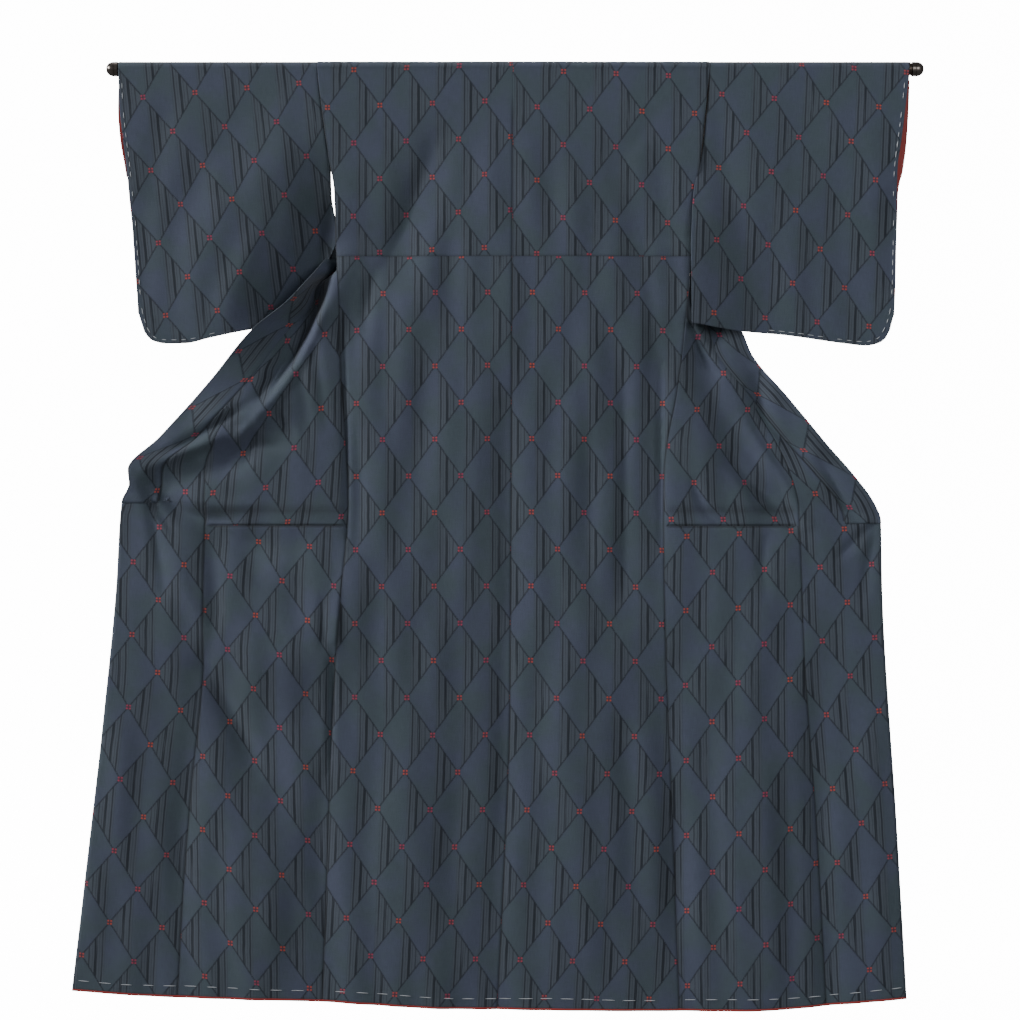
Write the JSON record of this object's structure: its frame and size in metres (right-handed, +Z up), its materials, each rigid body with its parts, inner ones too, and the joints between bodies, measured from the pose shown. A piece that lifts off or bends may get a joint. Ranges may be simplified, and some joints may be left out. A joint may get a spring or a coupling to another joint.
{
  "type": "kimono on a hanging rod",
  "caption": "Lined kimono in blue-black kasuri cloth with a diamond lattice, hung from a plain rod with its fronts opened out",
  "frame": {"origin": "on the axis of the rod that holds the garment, at the middle of the back", "axes": "+X along the rod, +Y away from the back of the garment, +Z up"},
  "size_m": [1.4158, 0.0794, 1.5791],
  "materials": {
    "kasuri_cloth": "matte silk weave with a lattice of darker lines",
    "white_lining": "soft plain silk",
    "red_lining": "soft plain silk",
    "basting_thread": "white cotton thread",
    "rod_metal": "dark satin",
    "cap_metal": "dark, slightly worn"
  },
  "bodies": {
    "root": {"rod": "rod_metal", "rod_cap_left": "cap_metal", "rod_cap_right": "cap_metal", "back_left": "kasuri_cloth", "back_right": "kasuri_cloth", "back_left_lower": "kasuri_cloth", "back_right_lower": "kasuri_cloth", "front_left": "kasuri_cloth", "front_right": "kasuri_cloth", "front_left_lower": "kasuri_cloth", "front_right_lower": "kasuri_cloth", "overlap_left": "kasuri_cloth", "overlap_right": "kasuri_cloth", "collar_left": "kasuri_cloth", "collar_right": "kasuri_cloth", "sleeve_left_back": "kasuri_cloth", "sleeve_left_front": "kasuri_cloth", "sleeve_right_back": "kasuri_cloth", "sleeve_right_front": "kasuri_cloth", "cuff_lining_left": "red_lining", "cuff_lining_right": "red_lining", "hem_lining_left": "red_lining", "hem_lining_right": "red_lining"}
  },
  "joints": []
}
